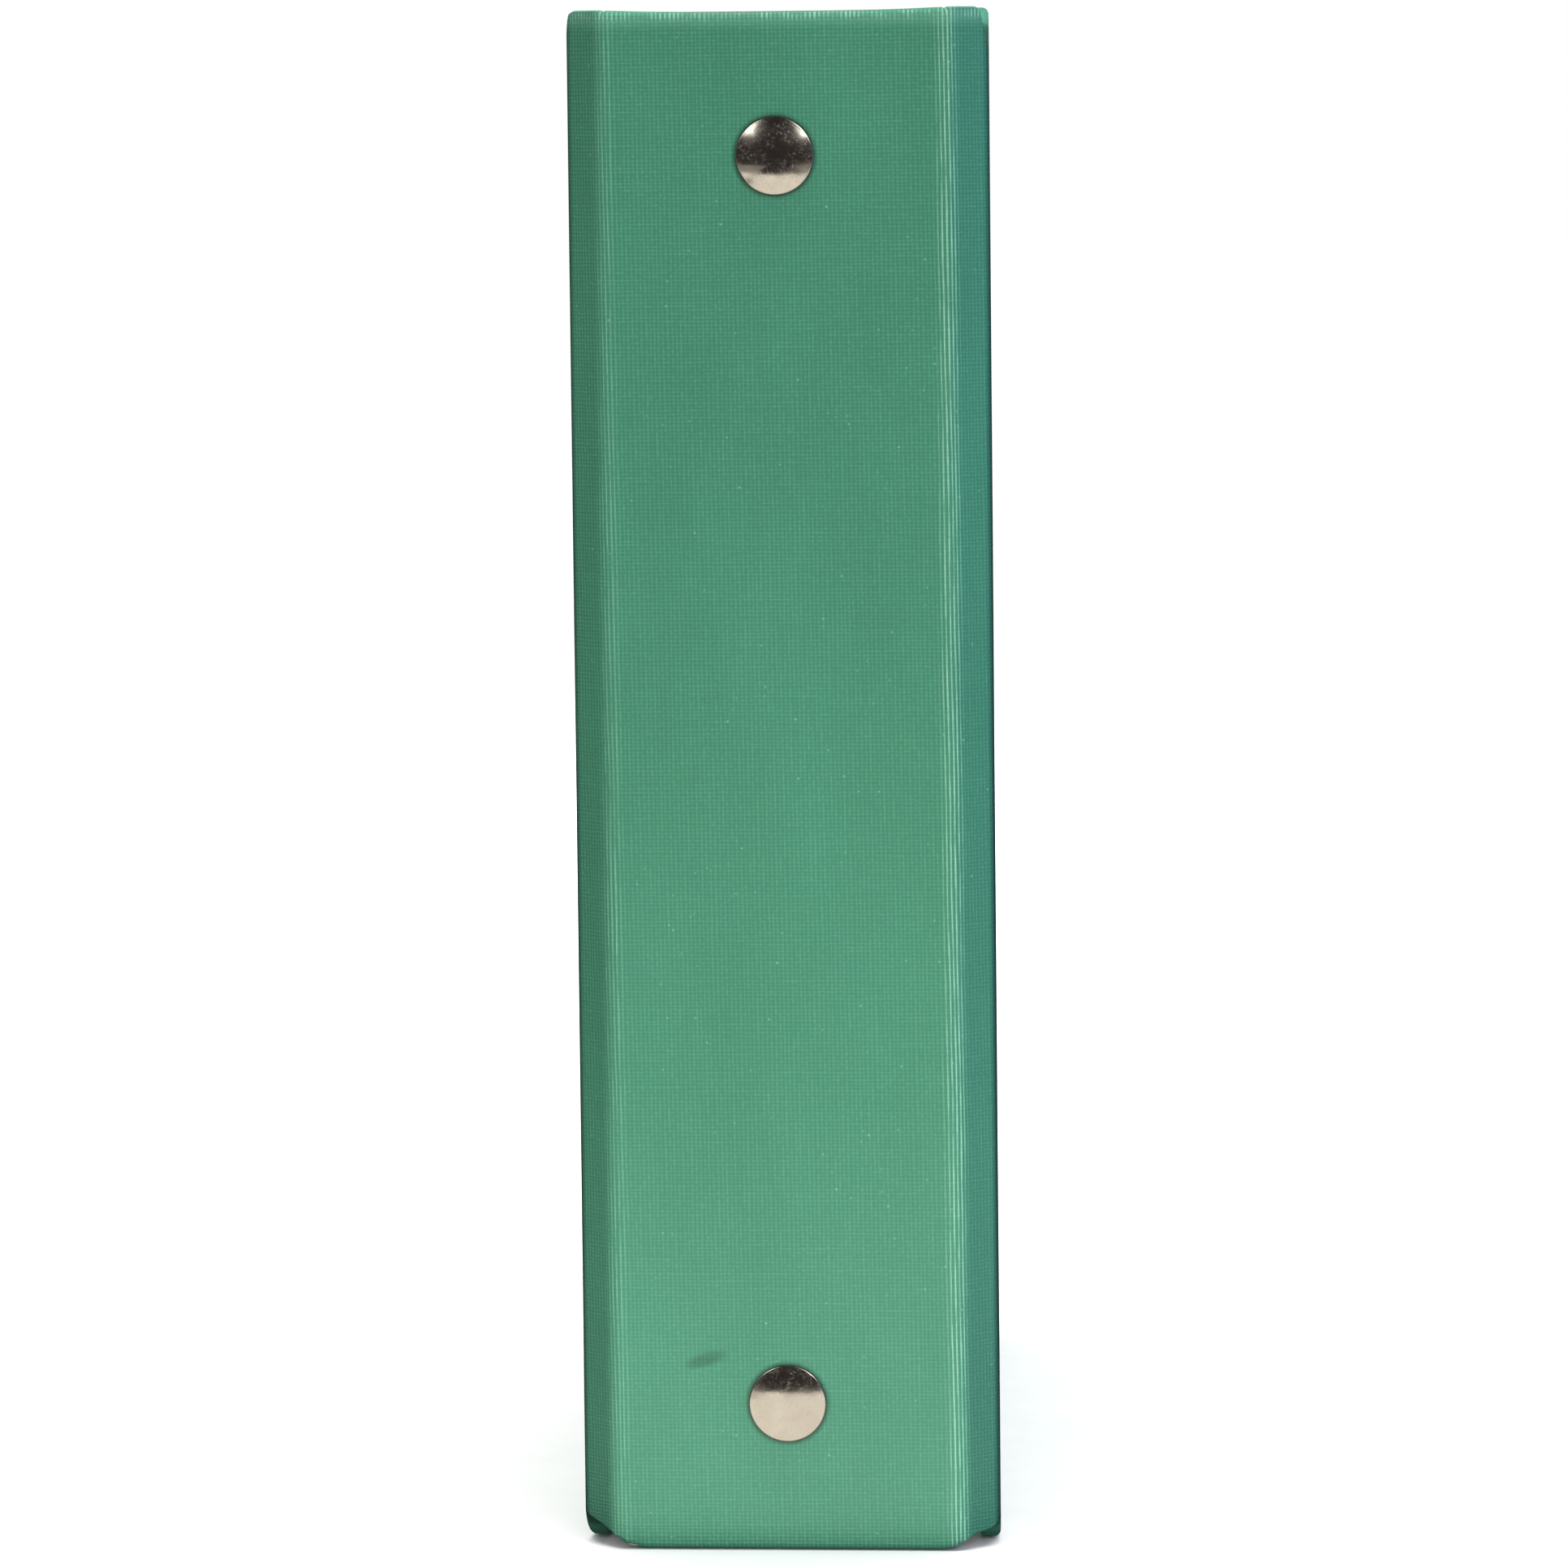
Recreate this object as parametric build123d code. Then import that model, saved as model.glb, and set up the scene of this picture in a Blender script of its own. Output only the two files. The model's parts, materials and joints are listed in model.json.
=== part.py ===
from build123d import *
import os
from math import sin, cos, asin, radians, sqrt

# Ring-binder stamp album standing on its lower edges, closed.
# +Z up, spine face toward -Y, front cover on the +X side, back cover on -X.
# All sizes in millimetres.

# ------------------------------------------------------------------ sizes
height = 250.0          # height of boards and spine
spine_face_w = 56.0     # flat spine, fold line to fold line
film_t = 0.4            # linen-embossed covering film
board_t = 2.4           # greyboard
lining_t = 0.3          # inside lining paper
turn_in = 15.0          # width of film turned in round a board edge
edge_r = 1.0            # rounding where the film goes round a board edge

hinge_w = 8.7           # film-only hinge strip between spine and cover
hinge_deg = 44.0        # slope of that strip when closed
cover_deg = 94.0        # direction of the closed cover (90 = square to spine)
cover_len = 218.0       # crease to fore-edge
cover_corner_r = 6.5    # board corner radius
spine_corner_r = 2.0

rivet_pitch = 202.5     # between the two spine rivets
rivet_z0 = 24.1         # lower rivet
rivet_d = 12.6          # domed cap
rivet_h = 1.5
tube_d = 5.0
post_d = 3.4
post_head_d = 8.5

ring_zs = (47.5, 92.5, 157.5, 202.5)   # four rings, 45-65-45 spacing
wire_d = 2.8
ring_R = 20.4           # wire centreline radius, 38 mm clear inside
ring_gap = 0.05         # half of the gap at the closed ring tips
base_len = 226.0
base_half_w = 12.0
plate_t = 0.9
blade_t = 1.1
ring_open_deg = 8.0
lever_deg = 20.0

leaf_t = 0.6
leaf_w = 181.0
leaf_h = 236.0
leaf_hole_d = 5.5
leaf_margin = 11.0      # punched holes to inner leaf edge
leaf_offsets = (1.2, 3.0, 4.8, 6.6, 8.4)
strip_t = 0.15
strip_h = 25.0
strip_rows = 6

# ------------------------------------------------------- derived positions
total_t = film_t + board_t + film_t + lining_t      # 3.5 board sandwich
yb = total_t                                        # seat of the ring mechanism
yc = yb + 21.4                                      # ring centre
fx = spine_face_w / 2
hd, cd = radians(hinge_deg), radians(cover_deg)
cx = fx + hinge_w * cos(hd)
cy = hinge_w * sin(hd)
fold_half = (cover_deg - hinge_deg) / 2
fold_foot = 1.0 * sin(radians(hinge_deg / 2))       # pivot foot from fold line
crease_foot = 1.2 * sin(radians(fold_half))
slot = 0.3

y_min = -rivet_h
y_max = cy + cover_len * sin(cd)
shift = -(y_min + y_max) / 2                        # centres the box in Y

os.makedirs("parts", exist_ok=True)
made = {}


def put(name, shape):
    """Write one node; a list is several like solids kept apart in it."""
    if isinstance(shape, list):
        shape = Compound([(Pos(0, shift, 0) * s).solid() for s in shape])
    else:
        shape = Pos(0, shift, 0) * shape
    made[name] = shape
    export_step(shape, "parts/" + name + ".step")


def both(front_name, back_name, shape):
    """Same piece on the front (+X) and back (-X) side."""
    put(front_name, shape)
    if isinstance(shape, list):
        put(back_name, [mirror(s, about=Plane.YZ) for s in shape])
    else:
        put(back_name, mirror(shape, about=Plane.YZ))


def slab(face, v0, v1):
    """Plate from an outline drawn as (u, z), thickness from v0 to v1 inward."""
    return Rot(90, 0, 0) * (Pos(0, 0, -v0) * extrude(face, amount=-(v1 - v0)))


def rect(u0, u1, z0, z1, r=0.0):
    w, h = u1 - u0, z1 - z0
    f = RectangleRounded(w, h, r) if r else Rectangle(w, h)
    return Pos((u0 + u1) / 2, (z0 + z1) / 2) * f


def box(x0, x1, y0, y1, z0, z1):
    return Pos((x0 + x1) / 2, (y0 + y1) / 2, (z0 + z1) / 2) * Box(x1 - x0, y1 - y0, z1 - z0)


def cyl_y(r, x, z, y0, y1):
    return Pos(x, (y0 + y1) / 2, z) * (Rot(90, 0, 0) * Cylinder(r, y1 - y0))


def cyl_x(r, y, z, x0, x1):
    return Pos((x0 + x1) / 2, y, z) * (Rot(0, 90, 0) * Cylinder(r, x1 - x0))


rivet_zs = (rivet_z0, rivet_z0 + rivet_pitch)

# -------------------------------------------------------------- the spine
half = fx - fold_foot - slot                        # half width of spine pieces
b0, b1 = film_t, film_t + board_t
outline = rect(-half, half, 0, height, spine_corner_r)
block = slab(outline, 0, b1 + film_t)
rim = block.edges().filter_by(lambda e: abs(e.center().Y) < 1e-4 and
                              (e.center().Z < spine_corner_r or e.center().Z > height - spine_corner_r)
                              and abs(e.center().X) < half - 0.9)
block = fillet(rim, edge_r)
inner = rect(-half + film_t, half - film_t, film_t, height - film_t, spine_corner_r - film_t)
board_core = slab(inner, b0, b1) + box(-half, half, b0, b1, spine_corner_r + film_t, height - spine_corner_r - film_t)
holes = [cyl_y(tube_d / 2 + 0.1, 0, z, -1, 12) for z in rivet_zs]
window = box(-half, half, b1, b1 + film_t, turn_in, height - turn_in)
spine_film = block - board_core - window
spine_board = board_core
spine_lining = window + box(-half + 0.6, half - 0.6, b1 + film_t, total_t, 4, height - 4)
for h in holes:
    spine_film -= h
    spine_board -= h
    spine_lining -= h
put("spine_film", spine_film)
put("spine_board", spine_board)
put("spine_lining", spine_lining)

# --------------------------------------------------- front and back hinges
t0 = fold_foot + slot
t1 = hinge_w - crease_foot - slot
zt = height
edge_line = Spline((t0, 0.9), (2.2, 1.7), (4.0, 2.0), (5.8, 2.15), (7.1, 3.0), (t1, 5.4),
                   tangents=((1, 0.55), (0.1, 1)))
top_line = Spline((t1, zt - 7.0), (t1 - 0.45, zt - 2.6), (t1 - 1.9, zt),
                  tangents=((0, 1), (-1, 0.12)))
sheet = make_face([edge_line,
                   Line((t1, 5.4), (t1, zt - 7.0)),
                   top_line,
                   Line((t1 - 1.9, zt), (t0, zt)),
                   Line((t0, zt), (t0, 0.9))])
place_hinge = Pos(fx, 0, 0) * Rot(0, 0, hinge_deg)
outer = slab(sheet, 0, film_t)
turned = slab(sheet, film_t, 2 * film_t)
mid_cut = box(-1, hinge_w + 1, film_t, 2 * film_t, turn_in, height - turn_in)
hinge_film = outer + (turned - mid_cut)
hinge_lining = (box(t0, t1, film_t, 2 * film_t, turn_in, height - turn_in)
                + box(t0 + 0.2, t1 - 0.2, 2 * film_t, 2 * film_t + lining_t, 6.5, height - 7.5))
both("front_hinge_film", "back_hinge_film", place_hinge * hinge_film)
both("front_hinge_lining", "back_hinge_lining", place_hinge * hinge_lining)

# --------------------------------------------------- front and back covers
u0 = crease_foot + slot
outline = rect(u0, cover_len, 0, height, cover_corner_r)
block = slab(outline, 0, b1 + film_t)
rim = block.edges().filter_by(lambda e: abs(e.center().Y) < 1e-4 and e.center().X > u0 + 0.1)
block = fillet(rim, edge_r)
inner = rect(u0 + film_t, cover_len - film_t, film_t, height - film_t, cover_corner_r - film_t)
cover_board = slab(inner, b0, b1) + box(u0, u0 + 4, b0, b1, cover_corner_r + film_t, height - cover_corner_r - film_t)
window = box(u0, cover_len - turn_in, b1, b1 + film_t, turn_in, height - turn_in)
cover_film = block - cover_board - window
cover_lining = window + slab(rect(u0 + 0.6, cover_len - 5, 5, height - 5, 3), b1 + film_t, total_t)
place_cover = Pos(cx, cy, 0) * Rot(0, 0, cover_deg)
both("front_cover_film", "back_cover_film", place_cover * cover_film)
both("front_cover_board", "back_cover_board", place_cover * cover_board)
both("front_cover_lining", "back_cover_lining", place_cover * cover_lining)

# ------------------------------------------------------- ring base plate
zb0, zb1 = (height - base_len) / 2, (height + base_len) / 2
w = base_half_w
pts = [(-w, yb), (-w, yb + 2.9), (-5.2, yb + 7.1), (5.2, yb + 7.1), (w, yb + 2.9), (w, yb),
       (w - 2.6, yb), (w - 2.6, yb + 0.8), (w - plate_t, yb + 0.8), (w - plate_t, yb + 2.35),
       (4.9, yb + 6.2), (-4.9, yb + 6.2), (-w + plate_t, yb + 2.35), (-w + plate_t, yb + 0.8),
       (-w + 2.6, yb + 0.8), (-w + 2.6, yb)]
arch = Pos(0, 0, zb0) * extrude(make_face(Polyline(*pts, close=True)), amount=base_len)
soft = arch.edges().filter_by(Axis.Z).filter_by(lambda e: e.center().Y > yb + 2.0)
arch = fillet(soft, 0.8)
for z in ring_zs:
    arch -= box(6.3, w + 1, yb + 2.1, yb + 8, z - 2.0, z + 2.0)
    arch -= box(-w - 1, -6.3, yb + 2.1, yb + 8, z - 2.0, z + 2.0)
for z in rivet_zs:
    arch -= cyl_y(post_d / 2 + 0.05, 0, z, yb + 5, yb + 8)
pin_y = yb + 3.2
pin_zs = (zb0 + 1.5, zb1 - 1.5)
pins = [cyl_x(0.8, pin_y, z, -9.2, 9.2) for z in pin_zs]
for p in pins:
    arch -= p
put("ring_base_plate", arch)
put("lever_pins", pins)

# ---------------------------------------------------------------- rivets
for name, z in (("bottom", rivet_zs[0]), ("top", rivet_zs[1])):
    R = rivet_d / 2
    ty = yb + 6.2
    e = R - 0.25
    sag = rivet_h - 0.42
    big = (e * e + sag * sag) / (2 * sag)
    m = asin(e / big) / 2
    dome = ThreePointArc((0, -rivet_h), (big * sin(m), -rivet_h + big * (1 - cos(m))), (e, -0.42))
    rim = ThreePointArc((e, -0.42), (e + 0.1768, -0.3468), (R, -0.17))
    cap = revolve(make_face([dome, rim, Line((R, -0.17), (R, 0)), Line((R, 0), (tube_d / 2, 0)),
                             Line((tube_d / 2, 0), (tube_d / 2, ty)),
                             Line((tube_d / 2, ty), (post_d / 2, ty)),
                             Line((post_d / 2, ty), (post_d / 2, 0.9)),
                             Line((post_d / 2, 0.9), (0, 0.9)),
                             Line((0, 0.9), (0, -rivet_h))]), axis=Axis.Y)
    put("rivet_cap_" + name, Pos(0, 0, z) * cap)
    hr, hy = post_head_d / 2, yb + 7.1
    pr = post_d / 2 - 0.02
    sag = 0.85
    big = (hr * hr + sag * sag) / (2 * sag)
    m = asin(hr / big) / 2
    post = revolve(make_face([Line((0, 1.2), (pr, 1.2)), Line((pr, 1.2), (pr, hy)),
                              Line((pr, hy), (hr, hy)), Line((hr, hy), (hr, hy + 0.3)),
                              ThreePointArc((hr, hy + 0.3), (big * sin(m), hy + 0.3 + sag - big * (1 - cos(m))),
                                            (0, hy + 0.3 + sag)),
                              Line((0, hy + 0.3 + sag), (0, 1.2))]), axis=Axis.Y)
    put("rivet_post_" + name, Pos(0, 0, z) * post)

# ------------------------------------------------- blades and ring halves
bl0, bl1 = yb + 1.4, yb + 1.4 + blade_t
tipy = yc + ring_R
wr = wire_d / 2
halves = []
for z in ring_zs:
    start = Plane(origin=(-ring_gap, tipy, z), x_dir=(0, 1, 0), z_dir=(1, 0, 0)) * Circle(wr)
    arc = revolve(start, axis=Axis((0, yc, z), (0, 0, 1)), revolution_arc=150)
    ax, ay = -ring_R * cos(radians(60)), yc - ring_R * sin(radians(60))
    leg_plane = Plane(origin=(ax, ay, z), z_dir=(cos(radians(30)), -sin(radians(30)), 0))
    leg = extrude(leg_plane * Circle(wr), amount=9)
    h = (arc + leg) - box(-40, 40, bl0 - 20, bl0, z - 5, z + 5)
    h -= box(-ring_gap, 5, tipy - 5, tipy + 5, z - 5, z + 5)
    halves.append(h)
blade = box(-10.4, -0.2, bl0, bl1, zb0 + 3.7, zb1 - 3.7)
for z in rivet_zs:
    blade -= cyl_y(3.1, 0, z, 0, 20)
for h in halves:
    blade -= h
back_rings = []
front_rings = []
for h, z in zip(halves, ring_zs):
    back_rings.append(h - Pos(-0.5, tipy, z) * (Rot(0, 90, 0) * Cylinder(0.85, 1.0)))
    front_rings.append(mirror(h, about=Plane.YZ)
                       + Pos(-0.25, tipy, z) * (Rot(0, 90, 0) * Cylinder(0.6, 0.9)))
put("back_ring_halves", back_rings)
put("front_ring_halves", front_rings)
put("back_ring_blade", blade)
put("front_ring_blade", mirror(blade, about=Plane.YZ))

# ----------------------------------------------------------- thumb levers
# drawn for the upper end; the lower one is its mirror image
zp = pin_zs[1]
hub = cyl_x(1.7, pin_y, zp, -5, 5)
body = box(-5, 5, pin_y - 1.5, pin_y + 1.0, zp - 1.4, zp)
toe = box(-3, 3, yb + 0.35, yb + 1.1, zp - 3.2, zp) + box(-3, 3, yb + 0.35, pin_y, zp - 1.6, zp)
jaw = box(-3, 3, yb + 3.05, yb + 4.2, zp - 3.2, zp)
arm = box(-5, 5, pin_y - 0.7, pin_y + 0.7, zp, zp + 3.9)
tab = slab(rect(-6.5, 6.5, 0, 9.6, 3.0), 0, 1.4)
tab = Rot(90, 0, 0) * tab
tab = Pos(0, pin_y - 0.7, zp + 2.5) * (Rot(0, 0, 0) * tab)
bb = tab.bounding_box()
tab = Pos(0, (pin_y - 0.7) - bb.min.Y, (zp + 2.5) - bb.min.Z) * tab
lever = hub + body + toe + jaw + arm + tab
lever -= cyl_x(0.85, pin_y, zp, -6, 6)
put("lever_top", lever)
put("lever_bottom", mirror(lever, about=Plane.XY.offset(height / 2)))

# ----------------------------------------------------------------- leaves
zl0 = (height - leaf_h) / 2
for i, s in enumerate(leaf_offsets, start=1):
    yh = yc + sqrt(ring_R ** 2 - s ** 2)
    yi = yh - leaf_margin
    card = Pos(s, yi + leaf_w / 2, height / 2) * (Rot(0, 90, 0) * extrude(RectangleRounded(leaf_h, leaf_w, 2.0), amount=leaf_t / 2, both=True))
    for z in ring_zs:
        card -= Pos(s, yh, z) * (Rot(0, 90, 0) * Cylinder(leaf_hole_d / 2, 4))
    strips = []
    pitch = (leaf_h - 12) / strip_rows
    for k in range(strip_rows):
        z = zl0 + 7 + k * pitch
        for a, b in ((s + leaf_t / 2, s + leaf_t / 2 + strip_t), (s - leaf_t / 2 - strip_t, s - leaf_t / 2)):
            strips.append(box(a, b, yi + 20, yi + leaf_w - 5, z, z + strip_h))
    both("leaf_front_%d" % i, "leaf_back_%d" % i, card)
    both("leaf_front_%d_strips" % i, "leaf_back_%d_strips" % i, strips)

print(len(made), "pieces; shift", round(shift, 3), "ring centre y", round(yc + shift, 3),
      "crease", round(cx, 3), round(cy + shift, 3), "depth", round(y_max - y_min, 2))
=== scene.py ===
import json
import math

import bmesh
import bpy
import numpy as np
from mathutils import Matrix, Vector, noise

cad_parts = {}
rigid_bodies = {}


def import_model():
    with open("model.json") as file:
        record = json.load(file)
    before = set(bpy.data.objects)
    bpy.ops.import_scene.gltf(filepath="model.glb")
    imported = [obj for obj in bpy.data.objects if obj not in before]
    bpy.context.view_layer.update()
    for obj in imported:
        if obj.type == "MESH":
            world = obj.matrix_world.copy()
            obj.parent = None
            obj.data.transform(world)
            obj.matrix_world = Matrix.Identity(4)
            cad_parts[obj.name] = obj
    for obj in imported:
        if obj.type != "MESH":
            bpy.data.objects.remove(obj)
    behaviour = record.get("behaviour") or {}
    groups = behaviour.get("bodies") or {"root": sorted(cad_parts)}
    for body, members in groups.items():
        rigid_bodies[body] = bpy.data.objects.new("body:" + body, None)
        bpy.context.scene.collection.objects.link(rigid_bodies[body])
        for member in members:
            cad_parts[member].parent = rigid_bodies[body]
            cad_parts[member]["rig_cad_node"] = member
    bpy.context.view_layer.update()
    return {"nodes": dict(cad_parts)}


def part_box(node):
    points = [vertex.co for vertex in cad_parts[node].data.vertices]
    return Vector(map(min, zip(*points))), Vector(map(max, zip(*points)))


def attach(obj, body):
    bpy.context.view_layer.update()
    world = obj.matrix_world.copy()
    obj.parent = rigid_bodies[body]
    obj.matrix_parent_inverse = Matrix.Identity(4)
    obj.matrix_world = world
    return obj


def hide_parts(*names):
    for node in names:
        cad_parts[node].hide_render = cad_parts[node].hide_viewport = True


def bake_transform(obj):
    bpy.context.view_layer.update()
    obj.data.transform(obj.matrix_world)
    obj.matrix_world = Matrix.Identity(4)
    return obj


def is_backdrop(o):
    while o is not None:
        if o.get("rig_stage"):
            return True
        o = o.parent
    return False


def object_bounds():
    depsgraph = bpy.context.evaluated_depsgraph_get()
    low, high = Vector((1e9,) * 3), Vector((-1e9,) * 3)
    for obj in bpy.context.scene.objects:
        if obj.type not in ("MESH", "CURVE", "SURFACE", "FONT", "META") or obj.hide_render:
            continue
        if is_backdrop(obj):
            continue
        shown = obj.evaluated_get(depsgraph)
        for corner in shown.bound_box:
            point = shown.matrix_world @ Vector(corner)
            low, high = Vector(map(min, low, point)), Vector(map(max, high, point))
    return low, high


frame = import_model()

nodes = frame["nodes"]
scene = bpy.context.scene
col = scene.collection
MM = 0.001

# Row positions in millimetres: Y0, H and the rivet heights from the imported frame, the rest given
Y0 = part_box("spine_film")[0].y / MM          # outer face of the spine
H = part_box("spine_film")[1].z / MM           # height of boards
FX = 28.0                                    # spine centre line to fold line
HW = 8.7                                     # slanting hinge strip, fold to crease
HD, CD = 44.0, 94.0                          # directions of strip and closed cover
CL = 218.0                                   # cover, crease to fore-edge
RF, RC = 3.6, 3.3                            # outer radii of fold and crease
TF = RF * math.tan(math.radians(HD / 2))
TC = RC * math.tan(math.radians((CD - HD) / 2))
LF = RF * math.radians(HD)
LC = RC * math.radians(CD - HD)
A = FX - TF                                  # arc length where the fold starts
B = A + LF
C = B + HW - TF - TC
D = C + LC
END = D + CL - TC
FOLD_S, CREASE_S = (A + B) / 2, (C + D) / 2
THREAD, PICK = 0.71, 0.60                    # linen grain, mm a thread
RIVETS = [(lo.z + hi.z) / 2 / MM for lo, hi in (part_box("rivet_cap_bottom"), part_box("rivet_cap_top"))]


def lin(v):
    v = v / 255.0
    return v / 12.92 if v <= 0.04045 else ((v + 0.055) / 1.055) ** 2.4


def rgb(r, g, b):
    return (lin(r), lin(g), lin(b), 1.0)


def sec(s):
    """Point and inward normal on the outer face, front side, s along the cloth."""
    if s <= A:
        return (s, 0.0), (0.0, 1.0)
    if s <= B:
        a = (s - A) / RF
        return (A + RF * math.sin(a), RF * (1 - math.cos(a))), (-math.sin(a), math.cos(a))
    h = math.radians(HD)
    bx, by = A + RF * math.sin(h), RF * (1 - math.cos(h))
    if s <= C:
        t = s - B
        return (bx + t * math.cos(h), by + t * math.sin(h)), (-math.sin(h), math.cos(h))
    t = C - B
    cx, cy = bx + t * math.cos(h), by + t * math.sin(h)
    if s <= D:
        a = (s - C) / RC
        ox, oy = cx - RC * math.sin(h), cy + RC * math.cos(h)
        return (ox + RC * math.sin(h + a), oy - RC * math.cos(h + a)), (-math.sin(h + a), math.cos(h + a))
    c = math.radians(CD)
    ox, oy = cx - RC * math.sin(h), cy + RC * math.cos(h)
    dx, dy = ox + RC * math.sin(c), oy - RC * math.cos(c)
    t = s - D
    return (dx + t * math.cos(c), dy + t * math.sin(c)), (-math.sin(c), math.cos(c))


def at(s, v, side=1):
    """Row x, y (mm) of a point v inside the outer face at s."""
    (x, y), (nx, ny) = sec(s)
    return side * (x + nx * v), y + ny * v + Y0


def smooth(a, b, x):
    t = min(1.0, max(0.0, (x - a) / (b - a)))
    return t * t * (3 - 2 * t)


def thick(s):
    """Cloth to cloth thickness: boards each side, doubled cloth in the strip."""
    return 3.2 - 2.4 * smooth(FX - 0.6, FX + 0.75, s) + 2.4 * smooth(D - 2.2, D - 0.85, s)


def mesh_object(name, verts, faces, uvs=None, smooth_shade=True):
    me = bpy.data.meshes.new(name)
    me.from_pydata([tuple(c * MM for c in v) for v in verts], [], faces)
    if uvs is not None:
        layer = me.uv_layers.new(name="Cloth")
        loops = np.zeros(len(me.loops), np.int32)
        me.loops.foreach_get("vertex_index", loops)
        flat = np.array(uvs, np.float32)[loops]
        layer.data.foreach_set("uv", flat.ravel())
    me.update()
    me.polygons.foreach_set("use_smooth", [smooth_shade] * len(me.polygons))
    ob = bpy.data.objects.new(name, me)
    col.objects.link(ob)
    return ob


# --------------------------------------------------------------- node helpers
class Nodes:
    def __init__(self, name):
        self.mat = bpy.data.materials.new(name)
        self.mat.use_nodes = True
        self.t = self.mat.node_tree
        self.t.nodes.clear()
        self.out = self.t.nodes.new("ShaderNodeOutputMaterial")
        self.bsdf = self.t.nodes.new("ShaderNodeBsdfPrincipled")
        self.t.links.new(self.bsdf.outputs[0], self.out.inputs[0])

    def put(self, socket, value):
        if isinstance(value, bpy.types.NodeSocket):
            self.t.links.new(value, socket)
        elif value is not None:
            socket.default_value = value

    def math(self, op, a, b=None, c=None, clamp=False):
        n = self.t.nodes.new("ShaderNodeMath")
        n.operation, n.use_clamp = op, clamp
        for i, v in enumerate((a, b, c)):
            self.put(n.inputs[i], v)
        return n.outputs[0]

    def uv(self, name):
        n = self.t.nodes.new("ShaderNodeUVMap")
        n.uv_map = name
        return n.outputs[0]

    def obj(self):
        return self.t.nodes.new("ShaderNodeTexCoord").outputs["Object"]

    def xyz(self, vector):
        n = self.t.nodes.new("ShaderNodeSeparateXYZ")
        self.put(n.inputs[0], vector)
        return n.outputs[0], n.outputs[1], n.outputs[2]

    def vec(self, x, y, z=0.0):
        n = self.t.nodes.new("ShaderNodeCombineXYZ")
        for i, v in enumerate((x, y, z)):
            self.put(n.inputs[i], v)
        return n.outputs[0]

    def noise(self, vector, scale, detail=2.0, rough=0.5, distort=0.0):
        n = self.t.nodes.new("ShaderNodeTexNoise")
        self.put(n.inputs["Vector"], vector)
        n.inputs["Scale"].default_value = scale
        n.inputs["Detail"].default_value = detail
        n.inputs["Roughness"].default_value = rough
        n.inputs["Distortion"].default_value = distort
        return n.outputs[0]

    def voronoi(self, vector, scale, feature="F1"):
        n = self.t.nodes.new("ShaderNodeTexVoronoi")
        n.feature = feature
        self.put(n.inputs["Vector"], vector)
        n.inputs["Scale"].default_value = scale
        return n.outputs["Distance"]

    def range(self, v, a, b, c=0.0, d=1.0, kind="LINEAR"):
        n = self.t.nodes.new("ShaderNodeMapRange")
        n.interpolation_type = kind
        self.put(n.inputs[0], v)
        for i, x in enumerate((a, b, c, d)):
            self.put(n.inputs[i + 1], x)
        return n.outputs[0]

    def mix(self, f, a, b, mode="MIX"):
        n = self.t.nodes.new("ShaderNodeMix")
        n.data_type, n.blend_type = "RGBA", mode
        self.put(n.inputs[0], f)
        self.put(n.inputs[6], a)
        self.put(n.inputs[7], b)
        return n.outputs[2]

    def bump(self, height, strength, distance, normal=None):
        n = self.t.nodes.new("ShaderNodeBump")
        n.inputs["Strength"].default_value = strength
        n.inputs["Distance"].default_value = distance
        self.put(n.inputs["Height"], height)
        if normal is not None:
            self.put(n.inputs["Normal"], normal)
        return n.outputs[0]

    def scaled(self, vector, sx, sy, sz):
        n = self.t.nodes.new("ShaderNodeMapping")
        self.put(n.inputs[0], vector)
        n.inputs["Scale"].default_value = (sx, sy, sz)
        return n.outputs[0]

    def set(self, **k):
        names = {"color": "Base Color", "rough": "Roughness", "metal": "Metallic", "normal": "Normal",
                 "spec": "Specular IOR Level", "coat": "Coat Weight", "coat_rough": "Coat Roughness",
                 "sheen": "Sheen Weight", "sheen_rough": "Sheen Roughness", "ior": "IOR", "trans": "Transmission Weight",
                 "alpha": "Alpha", "sheen_tint": "Sheen Tint"}
        for key, v in k.items():
            self.put(self.bsdf.inputs[names[key]], v)
        return self.mat


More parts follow.
